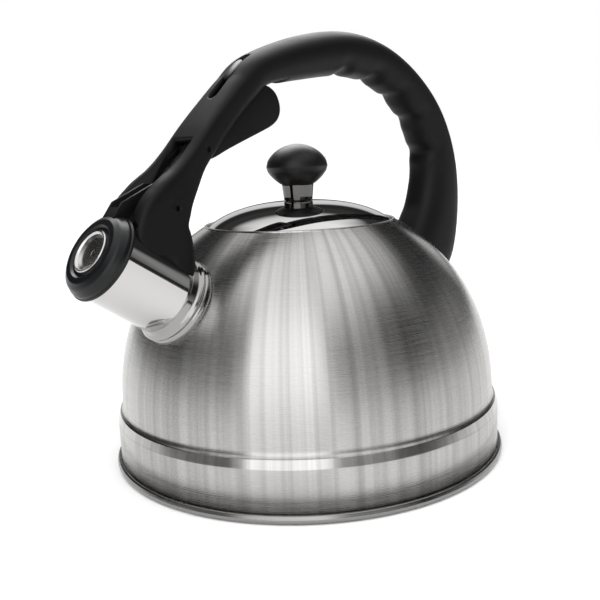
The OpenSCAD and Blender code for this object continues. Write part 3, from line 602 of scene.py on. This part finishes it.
# ---------------------------------------------------------------- cap and whistle
CUP_R = WHISTLE_R - 0.1
cap_lip = rounded([(CAP_BORE_R, 0, 0.2), (CAP_R, 0, 0.25), (CAP_R, 1.1, 0.3), (CAP_R - 0.6, 1.5, 0.3),
                   (CAP_R - 0.75, 3.0, 2.5), (CAP_R - 2.6, 6.2, 3.0), (CAP_FACE_R + 0.9, 7.9, 1.2),
                   (CAP_FACE_R - 1.7, CAP_LEN, 0.5), (CAP_FACE_R - 2.9, CAP_LEN - 1, 0.4),
                   (WHISTLE_R, CAP_LEN - 1, 0.1), (WHISTLE_R, 2.6), (CAP_BORE_R, 2.6)], closed=True)
finish(lathe("spout_cap_moulding", cap_lip, SPOUT, 160), SATIN, "lever", "cap_black", "spout_cap")
dish = rounded([(WHISTLE_HOLE_R, 5.75, 0.1), (4, 5.9, 6), (7, 6.3, 4), (9.2, 7.4, 1.5), (9.9, 8.2, 0.4),
                (10.4, 8.3, 0.3), (WHISTLE_R - 0.05, 7.9, 0.3), (WHISTLE_R - 0.05, 5.2), (10.5, 5.2),
                (10.5, 6.7, 0.3), (7, 5.8, 3), (4, 5.4, 4), (WHISTLE_HOLE_R, 5.3, 0.1)], closed=True)
finish(lathe("whistle_dish", dish, SPOUT, 128), PRESSED, "lever", "whistle_chrome", "whistle_front")
cup = rounded([(WHISTLE_HOLE_R, 2.95), (WHISTLE_HOLE_R, 3.45), (10.3, 3.45, 0.4), (10.3, 5.1),
               (CUP_R, 5.1), (CUP_R, 2.95, 0.4)], closed=True)
finish(lathe("whistle_cup", cup, SPOUT, 96), CHROME, "lever", "whistle_chrome", "whistle_back")
ring = rounded([(17.2, 1.35, 0.3), (20.7, 1.35, 0.3), (20.7, 2.55, 0.2), (17.2, 2.55, 0.3)], closed=True)
finish(lathe("cap_seal", ring, SPOUT, 96), SILICONE, "lever", "silicone", "cap_gasket")


# ---------------------------------------------------------------- lid and knob
LID_R = OPENING_R - LID_GAP
LID_LOW, LID_TOP = LEDGE_Z + 0.3, MOUTH_Z + LID_RISE
LID_T, HEM_R = 0.8, 42.7                           # the lid's sheet, and how far its hem turns in


def lid_curve(edge, rise, rows):
    """A shallow dome: height = rise (1 - (r / edge)^2.5)^(1 / 1.2), from its edge in to its middle."""
    r = edge * np.sin(np.linspace(math.pi / 2, 0, rows))
    return np.stack([r, MOUTH_Z + rise * (1 - (r / edge) ** 2.5) ** (1 / 1.2)], 1)


hem = rounded([(LID_R - LID_T, LID_LOW + 1), (LID_R - LID_T, LID_LOW + LID_T), (HEM_R, LID_LOW + LID_T),
               (HEM_R, LID_LOW), (LID_R, LID_LOW, 0.4), (LID_R, MOUTH_Z - 0.3)])
over = lid_curve(LID_R, LID_RISE, 90)
under = lid_curve(LID_R - LID_T, LID_RISE - LID_T, 60)[::-1]
lid = np.concatenate([hem, over, under])
finish(lathe("lid_pressing", lid, turns=288), MIRROR, "lid", "polished_steel", "lid_dome")
wall = rounded([(SKIRT_IN, LID_LOW), (SKIRT_OUT, LID_LOW), (SKIRT_OUT, LID_LOW - 14, 0.3),
                (SKIRT_IN, LID_LOW - 14, 0.3)], closed=True)
finish(lathe("lid_skirt_ring", wall, turns=144), PLAIN, "lid", "plain_steel", "lid_skirt")
lip = rounded([(SKIRT_OUT, LID_LOW - 6), (44.2, LID_LOW - 6, 0.3), (SEAL_R, LID_LOW - 4.6, 0.3),
               (44.0, LID_LOW - 4.0, 0.2), (SEAL_R, LID_LOW - 3.2, 0.3), (44.2, LID_LOW - 2, 0.3),
               (SKIRT_OUT, LID_LOW - 2)], closed=True)
finish(lathe("lid_seal", lip, turns=144), SILICONE, "lid", "silicone", "lid_gasket")

KNOB_Z = LID_TOP + FERRULE_H
ferrule = rounded([(2.05, 0), (7.3, 0, 0.3), (7.9, 0.5, 0.5), (8.2, 2.0, 3), (8.6, 6, 8),
                   (FERRULE_R, FERRULE_H, 0.3), (8.1, FERRULE_H), (6.9, 2.5), (6.9, 0.8),
                   (2.05, 0.8)], closed=True) + [0, LID_TOP]
# the ferrule's chrome is tinted dark: a painted dark reflection
neck = lathe("knob_ferrule_bright", ferrule, turns=96)
finish(neck, CHROME_PAINTED_DARK, "lid", "whistle_chrome", "knob_ferrule")


def knob_outline():
    """A lens on a spigot: with s the share of the height from the edge, its radius under the edge
    grows as (1 - s^1.5)^0.85, and above it falls as (1 - s^1.7)^0.52."""
    wide, foot = 0.44 * KNOB_H, FERRULE_R - 0.3
    s = np.sin(np.linspace(math.pi / 2, 0, 40))
    under = np.stack([foot + (KNOB_R - foot) * (1 - s ** 1.5) ** 0.85, wide * (1 - s)], 1)
    s = np.sin(np.linspace(0, math.pi / 2, 60))
    over = np.stack([KNOB_R * (1 - s ** 1.7) ** 0.52, wide + (KNOB_H - wide) * s], 1)
    edge = rounded([tuple(under[-7]), (KNOB_R - 0.15, wide + 0.1, 1.6), tuple(over[9])], steps=10)
    spigot = [(0, 1 - FERRULE_H), (SPIGOT_R, 1 - FERRULE_H), (SPIGOT_R, -0.1), (foot - 0.6, -0.1)]
    return np.concatenate([spigot, under[1:-7], edge, over[10:]]) + [0, KNOB_Z]


knob = lathe("knob_moulding", knob_outline(), turns=128, closed=False)
finish(knob, PHENOLIC, "lid", "knob_black", "knob")


# ---------------------------------------------------------------- handle
ROOT = from_spout(TUBE_R, 0)
# The centre line: (x, z, half thickness, half width, squareness). The first ten stand on the spout's
# root; the rest are shares of the span and of the rise between the arch's start and the rear leg.
FRONT_LEG = ((12.2, -36, 18, 17, 6.5), (13, -18.5, 17.8, 17, 6.5), (14.6, -3, 15, 16.5, 6.5),
             (20.4, 7, 12.2, 16, 6), (28.9, 16.7, 8.7, 15, 5.5), (36.8, 26.2, 6.6, 14.5, 5),
             (48, 38.2, 6.8, 14, 4.4), (60.2, 50, 7.2, 13.5, 3.6), (71.7, 60, 8, 13, 3),
             (84.7, 69.2, 9, 13, 2.5))
ARCH = ((0.215, 0.968, 11.4, 13, 2.2), (0.437, 1, 12.1, 13, 2.2), (0.629, 0.952, 11.9, 13, 2.2),
        (0.801, 0.817, 12, 13, 2.2), (0.934, 0.61, 13.4, 13, 2.2), (1, 0.347, 15.4, 13.3, 2.3),
        (0.988, 0.07, 19, 14, 2.5), (0.925, -0.17, 21.5, 15, 2.8), (0.855, -0.38, 13.5, 14.5, 2.7),
        (0.81, -0.53, 6, 13, 2.4))
ARCH_START = ROOT + FRONT_LEG[-1][:2]
ARCH_END, ARCH_TOP = np.array([DOME_R + 14.5, 120.0]), HANDLE_TOP - 12


def handle_stations():
    """All stations of the handle's centre line in the kettle's side view."""
    span, rise = ARCH_END[0] - ARCH_START[0], ARCH_TOP - ARCH_END[1]
    front = [(ROOT[0] + x, ROOT[1] + z, *rest) for x, z, *rest in FRONT_LEG]
    rear = [(ARCH_START[0] + x * span, ARCH_END[1] + z * rise, *rest) for x, z, *rest in ARCH]
    return np.array(front + rear)


def smooth_line(p, n):
    """A curve through stations, n points to each: between b and c, with a before and d after, it is half
    of 2b + (c - a)t + (2a - 5b + 4c - d)t^2 + (3b - a - 3c + d)t^3, a Catmull-Rom spline."""
    i = np.repeat(np.arange(len(p) - 1), n)
    t = np.tile(np.arange(n) / n, len(p) - 1)[:, None]
    a, b, c, d = p[np.maximum(i - 1, 0)], p[i], p[i + 1], p[np.minimum(i + 2, len(p) - 1)]
    square, cube = 2 * a - 5 * b + 4 * c - d, 3 * b - a - 3 * c + d
    line = (2 * b + (c - a) * t + square * t ** 2 + cube * t ** 3) / 2
    return np.concatenate([line, p[-1:]])


STEPS = 16
PATH = smooth_line(handle_stations(), STEPS)
along = np.gradient(PATH[:, :2], axis=0)
along /= np.linalg.norm(along, axis=1)[:, None]
OUTWARD = np.stack([-along[:, 1], along[:, 0]], 1)
RUN = np.concatenate([[0], np.cumsum(np.linalg.norm(np.diff(PATH[:, :2], axis=0), axis=1))])


def beside(step, distance):
    """Side-view points at distances outwards from the centre line, at path steps counted in stations."""
    i = (np.asarray(step) * STEPS).astype(int)
    return PATH[i, :2] + OUTWARD[i] * np.asarray(distance)[..., None]


def band(first, last, inner, outer):
    """Outline between two distances inside the handle's faces, from one station to another."""
    i = np.arange(int(first * STEPS), int(last * STEPS) + 1, 4) / STEPS
    half = PATH[(i * STEPS).astype(int), 2]
    return np.concatenate([beside(i, inner - half), beside(i, half - outer)[::-1]])


VALLEYS = ((33, 209.5), (58, 202.5), (74, 189), (85, 174), (91.5, 159))     # finger valleys, (x, z)
VALLEY_DEPTH, VALLEY_HALF = 2.6, 8.5


def valley_depth():
    """How deep the finger valleys are at each path point: a sum of cosine hollows along the inner face."""
    inner = PATH[:, :2] - OUTWARD * PATH[:, 2:3]
    depth = np.zeros(len(PATH))
    for v in VALLEYS:
        middle = RUN[np.argmin(np.linalg.norm(inner - v, axis=1))]
        u = np.clip((RUN - middle) / VALLEY_HALF, -1, 1)
        depth += VALLEY_DEPTH * (0.5 + 0.5 * np.cos(math.pi * u)) * (np.abs(u) < 1)
    return depth


def handle_skin(name, sides=112):
    """The swept moulding: at each path point a superellipse, |p / a|^q + |y / b|^q = 1, stands across
    the centre line, and its inner face is let in where the fingers lie."""
    a = TAU * (np.arange(sides) + 0.5) / sides
    q = 2 / PATH[:, 4:5]
    out = np.sign(np.cos(a)) * np.abs(np.cos(a)) ** q * PATH[:, 2:3]
    across = np.sign(np.sin(a)) * np.abs(np.sin(a)) ** q * PATH[:, 3:4]
    inward = np.clip(-np.cos(a), 0, 1) ** 0.7
    out += valley_depth()[:, None] * inward
    mid = PATH[:, None, :2] + OUTWARD[:, None, :] * out[..., None]
    pts = np.stack([mid[..., 0], across, mid[..., 1]], -1)
    obj = new_mesh(name, pts.reshape(-1, 3), capped(len(PATH), sides))
    tidy(obj)
    return obj


def spout_block(name, low, high):
    """A box given by its low and high corners in the spout's frame, as (up, y, out)."""
    x, y, z = zip(low, high)
    pts = [(a, b, c) for a in x for b in y for c in z]
    faces = [(0, 1, 3, 2), (4, 6, 7, 5), (0, 4, 5, 1), (2, 3, 7, 6), (0, 2, 6, 4), (1, 5, 7, 3)]
    obj = new_mesh(name, pts, faces, SPOUT)
    tidy(obj)
    return obj


def slot_bar(name, half, low, high):
    """A round-ended bar that stands in the slot along the handle's top, from low to high off its skin."""
    a, b = beside(7, PATH[7 * STEPS, 2]), beside(9, PATH[9 * STEPS, 2])
    length = np.linalg.norm(b - a) - 2 * SLOT
    t = np.linspace(-math.pi / 2, math.pi / 2, 17)
    right = np.stack([length + half * np.cos(t), half * np.sin(t)], 1)
    left = np.stack([-half * np.cos(t), -half * np.sin(t)], 1)
    outline = np.concatenate([right, left])
    turn = Matrix.Rotation(-math.atan2(*(b - a)[::-1]), 4, "Y")
    place = Matrix.Translation((a[0] * MM, 0, a[1] * MM)) @ turn @ Matrix.Translation((SLOT * MM, 0, 0))
    pts = np.concatenate([np.column_stack([outline, np.full(len(outline), h)]) for h in (low, high)])
    obj = new_mesh(name, pts, capped(2, len(outline)), place)
    tidy(obj)
    return obj


def lever_room(first, last, inner, outer):
    """The room between the handle's cheeks from one station to another."""
    return plate("room", band(first, last, inner, outer), -CHANNEL, CHANNEL)


def nose_room():
    """The pocket in the back wall that takes the trigger's nose at full squeeze."""
    t = (LEVER_PIVOT - TRIGGER_PIVOT) / np.linalg.norm(LEVER_PIVOT - TRIGGER_PIVOT)
    side = np.array([-t[1], t[0]])
    reach, half = 32.2, 3.6
    ends = ((0, -half), (reach, -half), (reach, half), (0, half))
    corners = [TRIGGER_PIVOT + t * a + side * b for a, b in ends]
    return plate("pocket", corners, -3.4, 3.4)


def swing_cutters():
    """The round space that the cap sweeps in front of the handle's cheeks as its lever turns."""
    pivot = Matrix.Translation((LEVER_PIVOT[0] * MM, 0, LEVER_PIVOT[1] * MM))
    gap = 1.2
    for turn in range(0, 29, 7):
        place = pivot @ Matrix.Rotation(math.radians(turn), 4, "Y") @ pivot.inverted() @ SPOUT
        yield bore_cutter("sweep", CAP_R + gap, -gap, 12, 128, place)


def make_handle():
    """The handle's moulding with its rooms for the lever and the trigger, its slot and its pin holes."""
    handle = handle_skin("handle_moulding")
    front = lever_room(0, 5.5, BACK_WALL, -8)
    carve(front, [spout_block("limit", (-100, -100, -9.001), (TUBE_R + 6, 100, -120))])
    carve(handle, [
        front,
        lever_room(4.5, 7, BACK_WALL, ROOF),
        lever_room(5, 9.5, -8, ROOF),
        slot_bar("slot", SLOT, -8, 8),
        bore_cutter("saddle", TUBE_R + 0.05, -60, 60, 144),
        spout_block("root", (-200, -100, -200), (10.7, 100, 200)),
        bore_cutter("collar_room", COLLAR_R + 0.3, -80, -37.9, 144),
        cross_bar("hole", LEVER_PIVOT, PIN_R, -THROUGH, THROUGH),
        cross_bar("hole", TRIGGER_PIVOT, PIN_R, -THROUGH, THROUGH),
        nose_room(),
        *swing_cutters()])
    return handle


finish(make_handle(), NYLON, "kettle", "handle_black", "handle")
finish(from_cad("slot_insert_moulding", "slot_insert", 0.5), SATIN, "kettle", "cap_black", "slot_insert")


# ---------------------------------------------------------------- trigger and lever
# Underside and round end of the finger pad, from the hub's underside round to the roof, (x, z).
PAD = ((-71.5, 167.0), (-66.5, 165.6), (-61.2, 166.4), (-52.2, 170.1), (-40.9, 174.3), (-30, 178.2),
       (-22.4, 181.2), (-17.9, 184.6), (-16.1, 189.1), (-16.8, 194.2), (-19.6, 198.8), (-24.7, 201.6),
       (-31, 201.0), (-50, 188.0), (-66, 174.0), (-70.5, 174.6), (-73.4, 171.5))
PAD_HALF = 7.0


def closed_curve(points, n):
    """The handle's curve run round a closed ring of points."""
    p = np.array(points, float)
    ring = np.concatenate([p[-2:], p, p[:2]])
    return smooth_line(ring, n)[2 * n:(len(p) + 2) * n]


def make_trigger():
    """A finger pad with rolled edges, joined to the hub and the slotted nose that drives the lever."""
    pad = plate("trigger_moulding", closed_curve(PAD, 5), -PAD_HALF, PAD_HALF)
    soften(pad, 2.2, 5, 50)
    hub = from_cad("hub", "trigger")
    beyond_hub = [(-69, 150), (20, 150), (20, 230), (-69, 230)]
    carve(hub, [plate("rest", beyond_hub, -20, 20)])
    join = pad.modifiers.new("join", "BOOLEAN")
    join.operation, join.solver, join.object = "UNION", "EXACT", hub
    settled(pad)
    bpy.data.objects.remove(hub)
    carve(pad, [cross_bar("bore", TRIGGER_PIVOT, TRIGGER_BORE_R, -THROUGH, THROUGH), spring_room()])
    shade(pad)
    return pad


def spring_room():
    """The round recess beside the hub where the return spring's coil sits."""
    return cross_bar("room", TRIGGER_PIVOT, 15, 2, THROUGH)


finish(make_trigger(), NYLON, "trigger", "handle_black", "trigger")
finish(from_cad("cap_lever_moulding", "cap_lever", 0.4), NYLON, "lever", "cap_black", "cap_lever")


# ---------------------------------------------------------------- pieces kept as the frame has them
KEPT = {
    PLAIN: ("base_plate", "base_cap"),
    ALUMINIUM: ("heat_disc",),
    ZINC: ("front_bracket", "rear_bracket", "front_screw", "rear_screw", "knob_screw", "knob_washer"),
    BLACKENED: ("trigger_pin", "lever_pin", "drive_pin", "lever_rivet", "return_spring"),
}
for mat, names in KEPT.items():
    for name in names:
        mesh = frame["nodes"][name].data
        mesh.materials.clear()
        mesh.materials.append(mat)

place_top_lamp((NYLON, SATIN, PHENOLIC))
